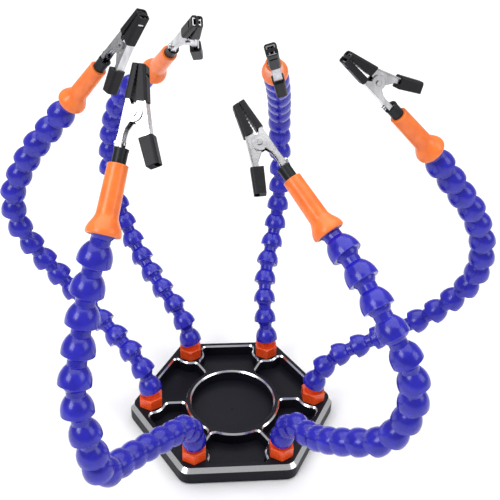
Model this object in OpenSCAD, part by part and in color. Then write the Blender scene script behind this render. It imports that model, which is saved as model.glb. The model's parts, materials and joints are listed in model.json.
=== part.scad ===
// Six-arm soldering helper. A hexagonal tray base carries six ball-jointed hoses,
// and each hose ends in a nozzle that holds a sprung, rubber-booted clip.
// Millimetres, +Z up. The origin is the centre of the pad's underside, on the bench.

/* [Base plate] */
// Distance across the flats of the hexagonal plate
base_flats = 134; // [126:1:150]
// Height of the plate's top face above the bench
base_top = 13.5; // [12:0.5:18]
// Thickness of the anti-slip pad under the plate
pad_t = 1.2; // [0.8:0.1:1.6]
// Radius of the plate's six corners
corner_r = 10; // [6:1:14]
// Width of the polished chamfer round the plate's top edge
edge_chamfer = 2.8; // [1:0.2:3]
// Height of the tray floors above the bench
tray_floor = 3.8; // [3:0.2:6]
// Radius of the round tray in the middle
round_tray_r = 30.8; // [26:0.2:32]
// Width of the polished chamfer round every tray
rim_chamfer = 1.1; // [0.4:0.1:1.2]

/* [Hose] */
// Distance from one ball centre to the next
pitch = 15.5; // [15.2:0.1:16.5]
// Outer radius of a hose segment's skirt
skirt_r = 8.45; // [8.2:0.05:8.8]
// Radius of the ball on a segment, a fitting or the hose's end
ball_r = 6.4; // [6.2:0.05:6.5]
// Radial gap between a ball and its socket
ball_gap = 0.1; // [0.05:0.01:0.15]
// Height of the first ball's centre above the plate
first_ball = 15; // [14:0.5:18]

/* [Nozzle and plug] */
// Length from the nozzle's socket centre to its tip
nozzle_l = 31; // [29:0.5:34]
// Outer radius of the nozzle's tip
nozzle_tip_r = 5; // [4.6:0.1:5.1]
// Outer radius of the nozzle's flared mouth
mouth_r = 8.6; // [8.4:0.1:8.8]
// Radius of the plug where it shows past the nozzle
plug_r = 3.5; // [3.3:0.05:3.8]
// Length of the plug that shows past the nozzle
plug_l = 7.5; // [6:0.5:7.5]

/* [Clip] */
// Distance of the clip's pivot from the nozzle's tip
pivot_x = 24.5; // [24:0.5:25]
// Height of the clip's pivot above the nozzle's axis
pivot_z = 3.2; // [3:0.1:3.4]
// Radius of the frame's round ears
ear_r = 4.2; // [3.8:0.1:4.4]
// Thickness of the clip's sheet steel
sheet = 0.8; // [0.6:0.1:0.8]
// Length of each jaw's boot
boot_l = 17; // [16:0.5:17]

/* [Hidden] */
e = 0.01;                  // overlap where two cutters meet
segments = 18;             // hose segments on each arm
half = segments / 2;

// Base and fittings
fitting_ring = 60.7;       // radius of the ring of hose fittings
fitting_flats = 16;        // hexagonal collar of a fitting, across flats
fitting_h = 8.5;           // height of that collar
shank_r = 5.9;             // fitting's shank, down into the plate
shank_l = 8;
tray_edge = 60.5;          // straight outer side of a perimeter tray, from the centre
land_r = 11;               // round land left about each fitting
rib_half = 1.4;            // half the width of the rib between two perimeter trays
tray_inner_r = 35.2;       // perimeter trays start outside this radius
fillet_outer = 3;          // corner radii of a perimeter tray
fillet_inner = 4;
steps = 8;                 // points on each arc of a tray's outline
rise = 0.5;                // how far a cutter rises past the plate's top
mark_r = 1.4;              // drill mark in the middle of the round tray
mark_depth = 0.6;
shank_gap = 0.1;           // clearance round a fitting's shank
collar_round = [20.9, 7.6]; // radii of the cone that rounds a collar's top corners
pad_inset = 1.5;           // pad's edge inside the plate's corner radius

// Hose and nozzle
neck_r = 4.9;              // neck under every ball
flow_r = 3;                // channel along the hose
skirt_drop = 1.8;          // how far a skirt reaches below its socket's centre
dome_h = 8.4;              // height of a segment's dome above its socket's centre
ball_cut = 5;              // flat end of a ball above its centre
socket_r = ball_r + ball_gap;
mouth_drop = 3;            // how far the nozzle's mouth reaches below its socket's centre
mouth_in = 7.3;            // inner radius of the mouth, wider than the neck that swings in it
flare_h = 9;               // height of the nozzle's flare
waist_r = 5.4;             // nozzle's radius above the flare
plug_bore_r = 3.15;        // bore of the nozzle's tip
plug_in = 8;               // length of the plug inside the nozzle

// Clip, in its own frame: X out of the nozzle, Z towards the lever
tail_r = 2.4;              // round tail, held by the plug
tail_end = 13;             // where the tail has opened out into the frame
screw_x = 9.8;             // clamp screw in the tail
frame_w = 5.2;             // outer width of the frame
lever_w = 3.5;             // outer width of the lever's cheeks, inside the frame's ears
web_w = 5.2;               // width of the lever's outer face
floor_z = -2.2;            // underside of the frame
cheek_z = -0.2;            // top of the frame's cheeks along the jaw
rivet_r = 1;
fit = 0.05;                // clearance of boots and pins
boot_x = 31;               // where the jaw boots start
boot_end = boot_x + boot_l;
jaw_end = boot_end - 0.8;  // end of the steel jaws
boot_w = [6.6, 7];         // width of a jaw boot at its start and end
frame_bite = [0.8, 0.5];   // bite face of the frame's boot at its start and end
frame_depth = [4, 3.5];    // its depth there
lever_bite = [2.6, 0.65];  // bite face of the lever's boot
lever_depth = [6, 3.45];
groove_r = 0.4;            // grip grooves across the bite faces
groove_step = 2;
window = [1.6, 4.4];       // opening near each jaw boot's end, along X and Y
handle_angle = 28;         // slope of the handle
handle_at = [16, 14.8];    // outer corner of the handle's boot, nearest the pivot
handle_l = 14;
handle_boot_w = [7.2, 6.8];
handle_depth = [7, 6.4];
handle_bite = [7, 7];      // flat underside of the handle's boot, from its outer face

// Outer line of the lever's face, from the handle's end over the pivot to the jaw's end.
LEVER_LINE = [[5.5, 19], [16, 13.4], [24, 10.4], [boot_x, 7.9], [jaw_end, 3.55]];
// Lower edge of the lever's cheeks, back from the jaw's end.
LEVER_EDGE = [[jaw_end, 1.6], [boot_x, 3.6], [28, 2.6], [pivot_x, 1.2], [21, 3.8],
    [16.5, 9.4], [5.5, 15.2]];

// Each arm: name, angle of its fitting, route, the nozzle's [bearing, rise], and the clip's
// roll about the nozzle. A route's points are [ball, bearing, rise]: the heading of the
// segment that starts at that ball. Between two points the hose turns evenly. Degrees.
ARMS = [
    ["left", 180, [[0, 150, 70], [2, 140, 30], [4, 140, 30], [7, 175, 55], [9, 180, 65],
        [11, -50, 80], [12, -25, 65], [15, -25, 50], [17, -25, 50]], [-30, 50], 210],
    ["back_left", 120, [[0, 145, 70], [2, 135, 35], [4, 125, 30], [8, 135, 70],
        [10, -55, 85], [14, -60, 50], [17, -45, 35]], [-65, 40], 105],
    ["back_right", 60, [[0, 105, 70], [2, 85, 45], [4, 70, 40], [7, 75, 75],
        [9, -155, 85], [13, -100, 45], [17, -105, 40]], [-100, 30], 160],
    ["right", 0, [[0, 0, 70], [2, 0, 30], [5, -10, 35], [8, -25, 60], [10, -105, 75],
        [12, -160, 65], [14, -160, 50], [17, -165, 50]], [-170, 45], 350],
    ["front_right", 300, [[0, -65, 70], [2, -70, 25], [4, -70, 40], [7, -50, 40],
        [9, -45, 70], [11, -155, 80], [13, 150, 55], [15, 120, 35], [17, 125, 25]],
        [130, 35], 120],
    ["front_left", 240, [[0, -115, 70], [2, -120, 30], [4, -125, 25], [7, -115, 30],
        [9, -110, 75], [11, 140, 75], [13, 70, 65], [15, 55, 70], [17, 40, 65]],
        [70, 50], 275],
];
ARM_PARTS = ["hose_lower", "hose_upper", "nozzle", "plug", "clip_frame", "frame_boot",
    "clip_fasteners", "clip_lever", "lever_boots"];

// ---- directions and places along an arm ----
function heading(bearing, rise) = [cos(bearing) * cos(rise), sin(bearing) * cos(rise), sin(rise)];
function unit(v) = v / norm(v);
function point_before(route, i, k = 0) =
    k + 2 == len(route) || route[k + 1][0] > i ? k : point_before(route, i, k + 1);
function segment_dir(route, i) =
    let (k = point_before(route, i), a = route[k], b = route[k + 1], t = (i - a[0]) / (b[0] - a[0]))
    unit(heading(a[1], a[2]) * (1 - t) + heading(b[1], b[2]) * t);
function nozzle_dir(arm) = heading(arm[3][0], arm[3][1]);
function fitting_at(angle) = fitting_ring * [cos(angle), sin(angle), 0];
function ball_at(arm, i) = i == 0
    ? fitting_at(arm[1]) + [0, 0, base_top + first_ball]
    : ball_at(arm, i - 1) + pitch * segment_dir(arm[2], i - 1);

// Puts local +Z along a direction.
module aim(at, dir) {
    translate(at) rotate([0, acos(dir[2]), atan2(dir[1], dir[0])]) children();
}

// Puts the clip's frame at a nozzle's tip: local +X out of the tip, local +Z to the lever.
module at_tip(arm) {
    translate(ball_at(arm, segments) + nozzle_l * nozzle_dir(arm))
        rotate([0, -arm[3][1], arm[3][0]]) rotate([-arm[4], 0, 0]) children();
}

// ---- base ----
module plate_outline(r, inset = 0) {
    corner = (base_flats / 2 - r) / cos(30);
    for (a = [0:60:300]) rotate(a) translate([corner, 0]) circle(r - inset, $fn = 96);
    polygon([for (a = [0:60:300]) for (s = [-30, 30])
        corner * [cos(a), sin(a)] + (r - inset) * [cos(a + s), sin(a + s)]]);
}

module plate_body() {
    corner = (base_flats / 2 - corner_r) / cos(30);
    hull() for (a = [0:60:300]) rotate(a) translate([corner, 0, pad_t]) {
        cylinder(r = corner_r, h = base_top - edge_chamfer - pad_t, $fn = 72);
        translate([0, 0, base_top - edge_chamfer - pad_t])
            cylinder(r1 = corner_r, r2 = corner_r - edge_chamfer, h = edge_chamfer, $fn = 72);
    }
}

function arc(c, r, from, to, first = 1) =
    [for (i = [first:steps]) let (a = from + (to - from) * i / steps) c + r * [cos(a), sin(a)]];
function mirrored(pts) = [for (i = [len(pts) - 1:-1:0]) [pts[i][0], -pts[i][1]]];
function turned(p, a) = [p[0] * cos(a) - p[1] * sin(a), p[0] * sin(a) + p[1] * cos(a)];

// Outline of a perimeter tray whose outer side faces +X, grown outwards by g.
function tray_outline(g) =
    let (land = turned([fitting_ring, 0], 30),
        a_x = tray_edge - fillet_outer, a_d = land_r + fillet_outer,
        a_c = [a_x, land[1] - sqrt(a_d * a_d - pow(a_x - land[0], 2))],
        a_end = atan2(land[1] - a_c[1], land[0] - a_c[0]),
        v = rib_half + fillet_inner,
        b_d = land_r + fillet_inner,
        b_c = turned([fitting_ring - sqrt(b_d * b_d - v * v), -v], 30),
        b_start = atan2(land[1] - b_c[1], land[0] - b_c[0]),
        c_c = turned([sqrt(pow(tray_inner_r + fillet_inner, 2) - v * v), -v], 30),
        c_ang = atan2(c_c[1], c_c[0]),
        side = concat(
            arc(a_c, fillet_outer + g, 0, a_end, 0),
            arc(land, land_r - g, a_end + 180, b_start + 180),
            arc(b_c, fillet_inner + g, b_start, 120),
            arc(c_c, fillet_inner + g, 120, c_ang + 180),
            arc([0, 0], tray_inner_r - g, c_ang, 0)))
    concat(side, mirrored([for (i = [0:len(side) - 2]) side[i]]));

// Cutter for one perimeter tray: straight walls and a flared rim.
module tray_cutter() {
    wall = tray_outline(0);
    rim = tray_outline(rim_chamfer + rise);
    n = len(wall);
    rings = concat(
        [for (p = wall) [p[0], p[1], tray_floor]],
        [for (p = wall) [p[0], p[1], base_top - rim_chamfer]],
        [for (p = rim) [p[0], p[1], base_top + rise]]);
    sides = [for (k = [0, 1]) for (i = [0:n - 1]) let (j = (i + 1) % n)
        [k * n + i, (k + 1) * n + i, (k + 1) * n + j, k * n + j]];
    polyhedron(rings, concat([[for (i = [0:n - 1]) i]], sides,
        [[for (i = [n - 1:-1:0]) 2 * n + i]]));
}

module base_plate() {
    color("#202024") difference() {
        plate_body();
        translate([0, 0, tray_floor]) cylinder(r = round_tray_r, h = base_top, $fn = 120);
        translate([0, 0, base_top - rim_chamfer]) cylinder(r1 = round_tray_r,
            r2 = round_tray_r + rim_chamfer + rise, h = rim_chamfer + rise, $fn = 120);
        translate([0, 0, tray_floor - mark_depth])
            cylinder(r1 = 0.2, r2 = mark_r, h = mark_depth + 0.1, $fn = 32);
        for (a = [30:60:330]) rotate(a) tray_cutter();
        for (a = [0:60:300]) translate(fitting_at(a) + [0, 0, base_top - shank_l - 0.3])
            cylinder(r = shank_r + shank_gap, h = shank_l + 1, $fn = 60);
    }
}

module base_pad() {
    color("#2b2b2b") linear_extrude(pad_t - 0.02) plate_outline(corner_r - 1, pad_inset);
}

// A fitting: threaded shank, hexagonal collar, neck and ball.
module hose_fitting() {
    difference() {
        union() {
            translate([0, 0, -shank_l]) cylinder(r = shank_r, h = shank_l + 1, $fn = 60);
            intersection() {
                translate([0, 0, 2 * e])
                    rotate(30) cylinder(d = fitting_flats / cos(30), h = fitting_h, $fn = 6);
                translate([0, 0, -e])
                    cylinder(r1 = collar_round[0], r2 = collar_round[1], h = fitting_h + 0.1, $fn = 60);
            }
            cylinder(r = neck_r, h = first_ball, $fn = 48);
            translate([0, 0, first_ball]) ball();
        }
        translate([0, 0, -shank_l - 1]) cylinder(r = flow_r, h = 40, $fn = 36);
    }
}

module hose_fittings() {
    color("#f0501e") for (a = [0:60:300])
        translate(fitting_at(a) + [0, 0, base_top]) hose_fitting();
}

// ---- hose ----
module ball() {
    intersection() {
        sphere(ball_r, $fn = 64);
        translate([0, 0, -ball_r]) cylinder(r = ball_r + 1, h = ball_r + ball_cut, $fn = 48);
    }
}

// Radius of a segment's dome at height z: an arc that is upright at the skirt's rim.
function dome_r(z) =
    let (w = skirt_r - neck_r, rad = (dome_h * dome_h + w * w) / (2 * w))
    skirt_r - rad + sqrt(rad * rad - z * z);

module hose_segment() {
    difference() {
        union() {
            rotate_extrude($fn = 72) polygon(concat(
                [[0, -skirt_drop], [skirt_r - 0.3, -skirt_drop], [skirt_r, -skirt_drop + 0.3]],
                [for (i = [0:14]) [dome_r(dome_h * i / 14), dome_h * i / 14]],
                [[neck_r, pitch], [0, pitch]]));
            translate([0, 0, pitch]) ball();
        }
        sphere(socket_r, $fn = 64);
        translate([0, 0, -skirt_drop - 1]) cylinder(r = flow_r, h = pitch * 2, $fn = 36);
    }
}

module hose(arm, first, last) {
    color("#3a30c8") for (i = [first:last])
        aim(ball_at(arm, i), segment_dir(arm[2], i)) hose_segment();
}
module hose_lower(arm) { hose(arm, 0, half - 1); }
module hose_upper(arm) { hose(arm, half, segments - 1); }

// Radius of the nozzle's flare at height z above its mouth.
function flare_r(z) = waist_r + (mouth_r - waist_r) * (0.5 + 0.5 * cos(180 * z / flare_h));

module nozzle(arm) {
    rim_z = 1.5 - mouth_drop;
    color("#ff7a32") aim(ball_at(arm, segments), nozzle_dir(arm)) difference() {
        rotate_extrude($fn = 72) polygon(concat(
            [[0, -mouth_drop], [mouth_r - 0.9, -mouth_drop], [mouth_r - 0.3, 0.3 - mouth_drop],
                [mouth_r - 0.05, 0.8 - mouth_drop]],
            [for (i = [0:14]) [flare_r(flare_h * i / 14), rim_z + flare_h * i / 14]],
            [[nozzle_tip_r, nozzle_l - 0.3], [nozzle_tip_r - 0.3, nozzle_l], [0, nozzle_l]]));
        sphere(socket_r, $fn = 64);
        translate([0, 0, -mouth_drop - e])
            cylinder(r1 = mouth_in, r2 = socket_r - 0.25, h = mouth_drop - skirt_drop + e, $fn = 60);
        cylinder(r = plug_bore_r, h = nozzle_l + 1, $fn = 48);
    }
}

// ---- plug and clip, drawn with +X out of the nozzle and +Z to the lever ----
module along_x(x0, x1, r) {
    translate([x0, 0, 0]) rotate([0, 90, 0]) cylinder(r = r, h = x1 - x0, $fn = 48);
}

// A slab whose outline is given in X and Z, w wide and centred on Y = 0.
module slab(pts, w) {
    translate([0, w / 2, 0]) rotate([90, 0, 0]) linear_extrude(w) polygon(pts);
}
// A disc or pin across the clip, w wide and centred on Y = 0.
module disc(x, z, r, w) {
    translate([x, w / 2, z]) rotate([90, 0, 0]) cylinder(r = r, h = w, $fn = 48);
}
// Two sheets of steel with their outer faces w apart.
module sheets(w) {
    for (s = [-1, 1]) translate([0, s * (w - sheet) / 2, 0]) children();
}
// Where the line through p and q is at x.
function line_z(p, q, x) = p[1] + (q[1] - p[1]) * (x - p[0]) / (q[0] - p[0]);

module plug(arm) {
    color("#26282a") at_tip(arm) difference() {
        union() {
            along_x(-plug_in, 1, plug_bore_r - 0.1);
            along_x(0.1, plug_l, plug_r);
            along_x(plug_l - 1, plug_l, plug_r + 0.2);
        }
        along_x(-plug_in - 1, plug_l + 1, tail_r + fit);
    }
}

module clip_frame(arm) {
    cheek = [[tail_end, floor_z], [jaw_end, floor_z], [jaw_end, cheek_z], [boot_x - 0.3, cheek_z],
        [28, 1.6], [pivot_x, pivot_z], [20.8, 2.4], [17, 0.6], [tail_end, 0.2]];
    color("#c9cdd2") at_tip(arm) difference() {
        union() {
            sheets(frame_w) {
                slab(cheek, sheet);
                disc(pivot_x, pivot_z, ear_r, sheet);
            }
            slab([[tail_end, floor_z], [jaw_end, floor_z], [jaw_end, floor_z + sheet],
                [tail_end, floor_z + sheet]], frame_w);
            difference() {
                union() {
                    along_x(1 - plug_in, 11, tail_r);
                    slab([[8, -tail_r], [11, -tail_r], [tail_end + 1, floor_z], [tail_end + 1, 0.2],
                        [8, 0.6]], frame_w);
                }
                along_x(-plug_in, 12, tail_r - sheet);
                slab([[6.6, 0.7], [6.6, 4], [20, 4], [20, floor_z + sheet], [12, floor_z + sheet],
                    [10.5, -1.6], [8, -1.6], [8, 0.7]], frame_w - 2 * sheet);
                slab([[6.6, 0.7], [20, 0.7], [20, 4], [6.6, 4]], 8);
            }
        }
        disc(pivot_x, pivot_z, rivet_r + fit, 10);
        translate([screw_x, 0, -4]) cylinder(r = 0.85, h = 3, $fn = 32);
    }
}

module clip_lever(arm) {
    cheek_top = [for (p = LEVER_LINE) p - [0, sheet / 2]];
    under = [for (i = [len(LEVER_LINE) - 1:-1:0]) LEVER_LINE[i] - [0, sheet]];
    color("#d2d5da") at_tip(arm) difference() {
        union() {
            slab(concat(LEVER_LINE, under), web_w);
            sheets(lever_w) {
                slab(concat(cheek_top, LEVER_EDGE), sheet);
                disc(pivot_x, pivot_z, 2.4, sheet);
            }
        }
        disc(pivot_x, pivot_z, rivet_r + fit, 10);
    }
}

// Rivet through the ears, and the screw through the tail with its head outside.
module clip_fasteners(arm) {
    color("#b9bdc2") at_tip(arm) {
        disc(pivot_x, pivot_z, rivet_r, frame_w + 0.2);
        sheets(frame_w + 2 * sheet + 0.1) disc(pivot_x, pivot_z, 1.5, sheet - 0.2);
        translate([screw_x, 0, -tail_r - 0.1]) cylinder(r = 0.8, h = 3.4, $fn = 32);
        translate([screw_x, 0, -tail_r - 1.5]) cylinder(r = 1.5, h = 1.45, $fn = 36);
    }
}

// Cross-section of a boot: flat towards the bite, rounded away from it.
module boot_slice(w, h) {
    back_r = 1.6;
    linear_extrude(0.1) hull() for (s = [-1, 1]) {
        translate([s * (w / 2 - 0.5), -0.5]) circle(0.5, $fn = 20);
        translate([s * (w / 2 - back_r), back_r - h]) circle(back_r, $fn = 32);
    }
}

// A tapered boot from x0 to x1, given its bite face, width and depth at both ends.
module boot_shell(x0, x1, bite, w, h) {
    hull() {
        translate([x0, 0, bite[0]]) rotate([90, 0, 90]) boot_slice(w[0], h[0]);
        translate([x1 - 0.1, 0, bite[1]]) rotate([90, 0, 90]) boot_slice(w[1], h[1]);
    }
}

// Grip grooves across a bite face.
module grooves(bite) {
    for (x = [boot_x + 3:groove_step:boot_end - 2])
        disc(x, line_z([boot_x, bite[0]], [boot_end, bite[1]], x), groove_r, 10);
}

module frame_boot(arm) {
    color("#2a2a2e") at_tip(arm) difference() {
        boot_shell(boot_x, boot_end, frame_bite, boot_w, frame_depth);
        slab([[boot_x - 1, floor_z - fit], [boot_end + 1, floor_z - fit],
            [boot_end + 1, cheek_z + fit], [boot_x - 1, cheek_z + fit]], frame_w + 2 * fit);
        translate([boot_end - 5.2, -window[1] / 2, floor_z - 2]) cube([window[0], window[1], 2.2]);
        grooves(frame_bite);
    }
}

// Boots on the lever: one over its jaw and one over its handle.
module lever_boots(arm) {
    face = [LEVER_LINE[3], LEVER_LINE[4]];
    edge = [LEVER_EDGE[1], LEVER_EDGE[0]];
    jaw_hole = concat([for (x = [boot_x - 1, boot_end + 1]) [x, line_z(face[0], face[1], x) + fit]],
        [for (x = [boot_end + 1, boot_x - 1]) [x, line_z(edge[0], edge[1], x) - fit]]);
    handle = [LEVER_LINE[0], LEVER_LINE[1]];
    handle_edge = [LEVER_EDGE[6], LEVER_EDGE[5]];
    handle_hole = concat([for (x = [2, 17]) [x, line_z(handle[0], handle[1], x) + fit]],
        [for (x = [17, 2]) [x, line_z(handle_edge[0], handle_edge[1], x) - fit]]);
    color("#2a2a2e") at_tip(arm) {
        difference() {
            mirror([0, 0, 1]) boot_shell(boot_x, boot_end, -lever_bite, boot_w, lever_depth);
            slab(jaw_hole, web_w + 2 * fit);
            translate([boot_end - 5.2, -window[1] / 2, 4.1]) cube([window[0], window[1], 3]);
            grooves(lever_bite);
        }
        difference() {
            translate([handle_at[0], 0, handle_at[1]]) rotate([0, 180 + handle_angle, 0])
                boot_shell(0, handle_l, handle_bite, handle_boot_w, handle_depth);
            slab(handle_hole, web_w + 2 * fit);
        }
    }
}

module arm_part(arm, part) {
    if (part == "hose_lower") hose_lower(arm);
    if (part == "hose_upper") hose_upper(arm);
    if (part == "nozzle") nozzle(arm);
    if (part == "plug") plug(arm);
    if (part == "clip_frame") clip_frame(arm);
    if (part == "frame_boot") frame_boot(arm);
    if (part == "clip_fasteners") clip_fasteners(arm);
    if (part == "clip_lever") clip_lever(arm);
    if (part == "lever_boots") lever_boots(arm);
}

base_plate();
base_pad();
hose_fittings();
for (arm = ARMS) for (part = ARM_PARTS)
    arm_part(arm, part);
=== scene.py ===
"""A six-arm soldering helper: tray base, ball-jointed hoses, nozzles and booted clips."""
import json
import math

import bpy
from mathutils import Matrix, Vector


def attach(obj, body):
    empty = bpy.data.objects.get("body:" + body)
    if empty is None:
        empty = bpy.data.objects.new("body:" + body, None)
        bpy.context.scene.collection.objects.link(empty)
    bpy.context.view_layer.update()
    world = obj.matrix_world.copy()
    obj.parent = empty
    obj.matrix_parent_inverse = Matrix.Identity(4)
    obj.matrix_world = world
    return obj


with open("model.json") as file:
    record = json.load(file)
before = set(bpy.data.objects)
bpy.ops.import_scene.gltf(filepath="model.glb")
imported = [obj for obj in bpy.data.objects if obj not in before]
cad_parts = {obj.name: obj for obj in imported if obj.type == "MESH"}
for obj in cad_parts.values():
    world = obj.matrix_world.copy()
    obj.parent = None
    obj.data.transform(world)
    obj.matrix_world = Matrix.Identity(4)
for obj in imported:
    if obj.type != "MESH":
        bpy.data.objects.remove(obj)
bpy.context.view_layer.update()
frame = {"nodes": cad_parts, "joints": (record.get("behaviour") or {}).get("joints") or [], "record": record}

NODES = frame["nodes"]
JOINTS = {j["name"]: j for j in frame["joints"]}
ARMS = [n[: -len("_nozzle")] for n in NODES if n.endswith("_nozzle")]
MM = 0.001
CREASE = 32           # degrees: the pieces' edges stay sharp above this
WIRE_CREASE = 40      # degrees: the same for the springs' wire
CUT_FROM = 0.008      # metres: the plate's bright cuts are all above this height
CUT_NORMAL = 0.707    # upward part of a 45 degree cut's normal
CUT_SPREAD = 0.2


# ---------------------------------------------------------------- materials

class Shader:
    """A Principled material whose nodes are added one line at a time."""

    def __init__(self, name, colour, **sockets):
        self.material = bpy.data.materials.new(name)
        self.material.use_nodes = True
        self.tree = self.material.node_tree
        self.bsdf = self.tree.nodes["Principled BSDF"]
        self.bsdf.inputs["Base Color"].default_value = (*colour, 1)
        for socket, value in sockets.items():
            self.bsdf.inputs[socket.replace("_", " ")].default_value = value
        self.place = self.add("ShaderNodeTexCoord").outputs["Object"]

    def add(self, kind, **settings):
        node = self.tree.nodes.new(kind)
        for key, value in settings.items():
            setattr(node, key, value)
        return node

    def link(self, source, target):
        self.tree.links.new(source, target)

    def noise(self, scale, detail=2.0, stretch=None):
        """Noise of about 1/scale metres, stretched along an axis if asked."""
        where = self.place
        if stretch:
            mapping = self.add("ShaderNodeMapping")
            mapping.inputs["Scale"].default_value = stretch
            self.link(where, mapping.inputs["Vector"])
            where = mapping.outputs["Vector"]
        node = self.add("ShaderNodeTexNoise")
        node.inputs["Scale"].default_value = scale
        node.inputs["Detail"].default_value = detail
        self.link(where, node.inputs["Vector"])
        return node.outputs["Fac"]

    def ramp(self, source, *stops):
        """A colour ramp through (position, colour) stops."""
        node = self.add("ShaderNodeValToRGB")
        elements = node.color_ramp.elements
        while len(elements) < len(stops):
            elements.new(0.5)
        for element, (position, colour) in zip(elements, stops):
            element.position = position
            element.color = (*colour, 1)
        self.link(source, node.inputs["Fac"])
        return node.outputs["Color"]

    def span(self, source, low, high):
        """The source's 0 to 1 mapped to low to high."""
        node = self.add("ShaderNodeMapRange")
        node.inputs["To Min"].default_value = low
        node.inputs["To Max"].default_value = high
        self.link(source, node.inputs["Value"])
        return node.outputs["Result"]

    def mix(self, factor, a, b):
        node = self.add("ShaderNodeMix", data_type="RGBA")
        self.link(factor, node.inputs["Factor"])
        for value, socket in ((a, node.inputs[6]), (b, node.inputs[7])):
            if isinstance(value, tuple):
                socket.default_value = (*value, 1)
            else:
                self.link(value, socket)
        return node.outputs[2]

    def bump(self, height, distance, strength=1.0):
        node = self.add("ShaderNodeBump")
        node.inputs["Strength"].default_value = strength
        node.inputs["Distance"].default_value = distance
        self.link(height, node.inputs["Height"])
        self.link(node.outputs["Normal"], self.bsdf.inputs["Normal"])

    def edges(self, radius):
        """1 on edges within the radius, 0 elsewhere."""
        bevel = self.add("ShaderNodeBevel", samples=4)
        bevel.inputs["Radius"].default_value = radius
        flat = self.add("ShaderNodeNewGeometry").outputs["Normal"]
        dot = self.add("ShaderNodeVectorMath", operation="DOT_PRODUCT")
        self.link(bevel.outputs["Normal"], dot.inputs[0])
        self.link(flat, dot.inputs[1])
        node = self.add("ShaderNodeMapRange")
        node.inputs["From Min"].default_value = 0.98
        node.inputs["From Max"].default_value = 0.86
        self.link(dot.outputs["Value"], node.inputs["Value"])
        return node.outputs["Result"]


def anodised():
    """Black anodised aluminium; faces cut at 45 degrees after anodising are bright."""
    s = Shader("anodised_black", (0.010, 0.010, 0.015), Roughness=0.4, Specular_IOR_Level=0.12)
    grain = s.noise(2200, 3)
    black = s.ramp(grain, (0.3, (0.005, 0.005, 0.009)), (0.7, (0.012, 0.012, 0.018)))
    turned = s.noise(900, 2, (1, 1, 6))
    bright = s.ramp(turned, (0.3, (0.78, 0.79, 0.82)), (0.7, (0.93, 0.93, 0.95)))
    normal = s.add("ShaderNodeSeparateXYZ")
    s.link(s.add("ShaderNodeNewGeometry").outputs["True Normal"], normal.inputs["Vector"])
    slope = s.add("ShaderNodeMath", operation="COMPARE")
    slope.inputs[1].default_value = CUT_NORMAL
    slope.inputs[2].default_value = CUT_SPREAD
    s.link(normal.outputs["Z"], slope.inputs[0])
    height = s.add("ShaderNodeSeparateXYZ")
    s.link(s.place, height.inputs["Vector"])
    above = s.add("ShaderNodeMath", operation="GREATER_THAN")
    above.inputs[1].default_value = CUT_FROM
    s.link(height.outputs["Z"], above.inputs[0])
    both = s.add("ShaderNodeMath", operation="MULTIPLY")
    s.link(slope.outputs[0], both.inputs[0])
    s.link(above.outputs[0], both.inputs[1])
    cut = both.outputs[0]
    s.link(s.mix(cut, black, bright), s.bsdf.inputs["Base Color"])
    s.link(cut, s.bsdf.inputs["Metallic"])
    s.link(s.span(cut, 0.42, 0.2), s.bsdf.inputs["Roughness"])
    s.bump(grain, 0.00002, 0.5)
    return s.material


def moulded(name, colour, deep, rim_highlight, roughness):
    """Glossy moulded plastic with faint flow marks, paler on its edges with a painted rim highlight."""
    s = Shader(name, colour, Roughness=roughness, IOR=1.46, Coat_Weight=0.15, Coat_Roughness=0.1)
    flow = s.noise(160, 3)
    base = s.ramp(flow, (0.3, deep), (0.65, colour))
    # painted highlight: the edges are mixed towards a paler colour, standing in for light passing through
    # the thin plastic at its rims
    s.link(s.mix(s.edges(0.0004), base, rim_highlight), s.bsdf.inputs["Base Color"])
    s.link(s.span(s.noise(700, 2), roughness - 0.05, roughness + 0.08), s.bsdf.inputs["Roughness"])
    s.bump(s.noise(450, 2), 0.00004, 0.5)
    return s.material


def plated_steel(name, roughness=0.2):
    """Nickel-plated pressed steel, faintly drawn along its length, with painted dark reflections on its
    edges.
    """
    s = Shader(name, (0.78, 0.78, 0.8), Metallic=1.0, Roughness=roughness)
    streak = s.noise(260, 3, (1, 1, 0.2))
    face = s.ramp(streak, (0.3, (0.48, 0.48, 0.50)), (0.7, (0.74, 0.74, 0.76)))
    # painted reflection: the edges are mixed towards a near-black grey, standing in for the dark reflections
    # of the rolled edges
    s.link(s.mix(s.edges(0.0005), face, (0.10, 0.10, 0.11)), s.bsdf.inputs["Base Color"])
    s.link(s.span(s.noise(900, 2), roughness - 0.06, roughness + 0.1), s.bsdf.inputs["Roughness"])
    s.bump(s.noise(1200, 2), 0.00002, 0.6)
    return s.material


def rubber(name, colour, roughness):
    """Soft black sleeve, a little greyer on its edges with a painted sheen."""
    s = Shader(name, colour, Roughness=roughness, Specular_IOR_Level=0.25)
    mottle = s.noise(380, 4)
    edge_sheen = tuple(c * 2.2 + 0.01 for c in colour)
    base = s.ramp(mottle, (0.35, colour), (0.75, tuple(c * 1.5 for c in colour)))
    # painted highlight: the edges are mixed towards grey, standing in for the sleeve's sheen
    s.link(s.mix(s.edges(0.0005), base, edge_sheen), s.bsdf.inputs["Base Color"])
    s.link(s.span(mottle, roughness - 0.08, roughness + 0.08), s.bsdf.inputs["Roughness"])
    s.bump(s.noise(1800, 3), 0.00004, 0.7)
    return s.material


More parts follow.
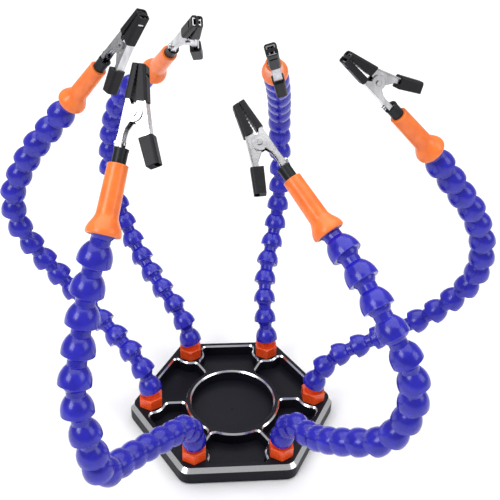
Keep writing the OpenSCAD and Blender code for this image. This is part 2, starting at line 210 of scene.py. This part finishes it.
MATERIALS = {
    "anodised_black": anodised(),
    "pad_foam": rubber("pad_foam", (0.02, 0.02, 0.021), 0.85),
    # the fourth colour of each moulded plastic is its painted rim highlight
    "hose_blue": moulded(
        "hose_blue", (0.018, 0.015, 0.43), (0.009, 0.007, 0.31), (0.10, 0.10, 0.80), 0.22),
    "nozzle_orange": moulded(
        "nozzle_orange", (0.92, 0.205, 0.032), (0.84, 0.155, 0.020), (0.98, 0.30, 0.07), 0.3),
    "fitting_orange": moulded(
        "fitting_orange", (0.90, 0.090, 0.013), (0.78, 0.062, 0.008), (0.98, 0.18, 0.04), 0.26),
    "plug_black": rubber("plug_black", (0.008, 0.010, 0.012), 0.36),
    "clip_steel": plated_steel("clip_steel"),
    "boot_rubber": rubber("boot_rubber", (0.007, 0.007, 0.009), 0.4),
    "fastener_steel": plated_steel("fastener_steel", 0.16),
}


def dress(piece, name):
    """Gives a piece its material, and smooth shading."""
    piece.data.materials.clear()
    piece.data.materials.append(MATERIALS[name])
    for polygon in piece.data.polygons:
        polygon.use_smooth = True


for part in frame["record"]["subparts"]:
    dress(NODES[part["node"]], part["material_slot"])


def soften_shading(piece, degrees):
    """Smooth shading that keeps edges sharper than the angle."""
    piece.data.set_sharp_from_angle(angle=math.radians(degrees))


for node in NODES.values():
    soften_shading(node, CREASE)


# ---------------------------------------------------------------- clip springs

def tube(name, points, radius, sides=10):
    """A closed round wire swept along points."""
    verts, faces = [], []
    side = None
    for i, here in enumerate(points):
        ahead = points[min(i + 1, len(points) - 1)]
        behind = points[max(i - 1, 0)]
        along = (ahead - behind).normalized()
        side = along.orthogonal() if side is None else side - along * side.dot(along)
        side.normalize()
        other = along.cross(side)
        for k in range(sides):
            a = 2 * math.pi * k / sides
            verts.append(here + radius * (math.cos(a) * side + math.sin(a) * other))
    for i in range(len(points) - 1):
        for k in range(sides):
            j = (k + 1) % sides
            faces.append((i * sides + k, i * sides + j, (i + 1) * sides + j, (i + 1) * sides + k))
    last = (len(points) - 1) * sides
    faces.append(tuple(range(sides))[::-1])
    faces.append(tuple(last + k for k in range(sides)))
    mesh = bpy.data.meshes.new(name)
    mesh.from_pydata([v[:] for v in verts], [], faces)
    piece = bpy.data.objects.new(name, mesh)
    bpy.context.scene.collection.objects.link(piece)
    return piece


def clip_frame_of(arm):
    """The clip's axes: +X out of the nozzle, +Z to the lever, with the origin at the pivot."""
    x = Vector(JOINTS[arm + "_clip_swivel"]["axis"])
    y = -Vector(JOINTS[arm + "_clip_lever_pivot"]["axis"])
    z = x.cross(y)
    m = Matrix((x, y, z)).transposed().to_4x4()
    m.translation = Vector(JOINTS[arm + "_clip_lever_pivot"]["pos_m"])
    return m


SPRING_R = 1.5 * MM          # middle of the coil's wire
SPRING_WIRE = 0.28 * MM      # radius of the wire
SPRING_HALF = 0.58 * MM      # half the coil's width
COIL_STEP = 18               # degrees between points of the coil
FLOOR_LEG = [(-9.0, -4.2), (-4.0, -3.4)]
LEVER_LEG = [(-8.6, 8.3)]


def leg(points, y):
    """Leg points given as (x, z) in millimetres from the pivot, at width y."""
    return [Vector((x * MM, y, z * MM)) for x, z in points]


def coil(start, end, y0, y1):
    """Points round the pivot between two angles in degrees, moving from y0 to y1."""
    steps = round(abs(end - start) / COIL_STEP)
    points = []
    for i in range(steps + 1):
        a = math.radians(start + (end - start) * i / steps)
        y = y0 + (y1 - y0) * i / steps
        points.append(Vector((SPRING_R * math.cos(a), y, SPRING_R * math.sin(a))))
    return points


def torsion_spring(arm):
    """A coil about the rivet: one half and leg on the frame, the other on the lever."""
    at = clip_frame_of(arm)
    frame_half = leg(FLOOR_LEG, -SPRING_HALF) + coil(270, 810, -SPRING_HALF, 0)
    lever_half = coil(90, 405, 0, SPRING_HALF) + leg(LEVER_LEG, SPRING_HALF)
    for name, local, body in (("_spring_frame_half", frame_half, "_clip"),
                              ("_spring_lever_half", lever_half, "_lever")):
        piece = tube(arm + name, [at @ p for p in local], SPRING_WIRE)
        dress(piece, "fastener_steel")
        soften_shading(piece, WIRE_CREASE)
        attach(piece, arm + body)


for arm in ARMS:
    torsion_spring(arm)


# ---------------------------------------------------------------- stage, lights and camera

FLOOR_HALF = 4
WORLD_STRENGTH = 0.42

floor_mesh = bpy.data.meshes.new("floor")
floor_mesh.from_pydata([(-FLOOR_HALF, -FLOOR_HALF, 0), (FLOOR_HALF, -FLOOR_HALF, 0),
                        (FLOOR_HALF, FLOOR_HALF, 0), (-FLOOR_HALF, FLOOR_HALF, 0)],
                       [], [(0, 1, 2, 3)])
floor = bpy.data.objects.new("floor", floor_mesh)
bpy.context.scene.collection.objects.link(floor)
floor_look = Shader("pale_floor", (0.9, 0.9, 0.9), Roughness=0.6)
floor_tone = floor_look.ramp(
    floor_look.noise(40, 2), (0.3, (0.92, 0.92, 0.92)), (0.7, (0.94, 0.94, 0.94)))
floor_look.link(floor_tone, floor_look.bsdf.inputs["Base Color"])
floor.data.materials.append(floor_look.material)

world = bpy.data.worlds.new("studio")
bpy.context.scene.world = world
world.use_nodes = True
background = world.node_tree.nodes["Background"]
background.inputs["Color"].default_value = (1, 1, 1, 1)
background.inputs["Strength"].default_value = WORLD_STRENGTH


def softbox(name, at, size, power, target=(0, 0, 0.12)):
    """A square lamp of a size in metres and a power in watts, facing its target."""
    lamp = bpy.data.lights.new(name, "AREA")
    lamp.size = size
    lamp.energy = power
    piece = bpy.data.objects.new(name, lamp)
    piece.location = at
    piece.rotation_euler = (Vector(target) - Vector(at)).to_track_quat("-Z", "Y").to_euler()
    bpy.context.scene.collection.objects.link(piece)


softbox("ceiling_light", (-0.1, 0.75, 2.2), 3.4, 64, target=(-0.1, 0.75, 0))
softbox("key_light", (-1.2, -1.0, 1.4), 0.9, 15)
softbox("fill_light", (1.3, -0.6, 1.0), 0.9, 6)

# The camera looks down at the base from in front and a little to the left.
CAMERA_AT = Vector((-0.0397, -0.4309, 0.4422))
CAMERA_AZIMUTH = math.radians(-6.33)
CAMERA_DOWN = math.radians(34.08)
CAMERA_ROLL = math.radians(2.58)
CAMERA_FOV = math.radians(34.86)

back = Vector((math.sin(CAMERA_AZIMUTH) * math.cos(CAMERA_DOWN),
               -math.cos(CAMERA_AZIMUTH) * math.cos(CAMERA_DOWN), math.sin(CAMERA_DOWN)))
right = (-back).cross(Vector((0, 0, 1))).normalized()
up = back.cross(right)
turned_right = math.cos(CAMERA_ROLL) * right + math.sin(CAMERA_ROLL) * up
turned_up = math.cos(CAMERA_ROLL) * up - math.sin(CAMERA_ROLL) * right
camera = bpy.data.objects.new("camera", bpy.data.cameras.new("camera"))
camera.data.angle = CAMERA_FOV
camera.data.clip_start = 0.01
camera.matrix_world = Matrix.Translation(CAMERA_AT) @ Matrix(
    (turned_right, turned_up, back)).transposed().to_4x4()
bpy.context.scene.collection.objects.link(camera)
bpy.context.scene.camera = camera
bpy.context.scene.view_settings.view_transform = "Standard"
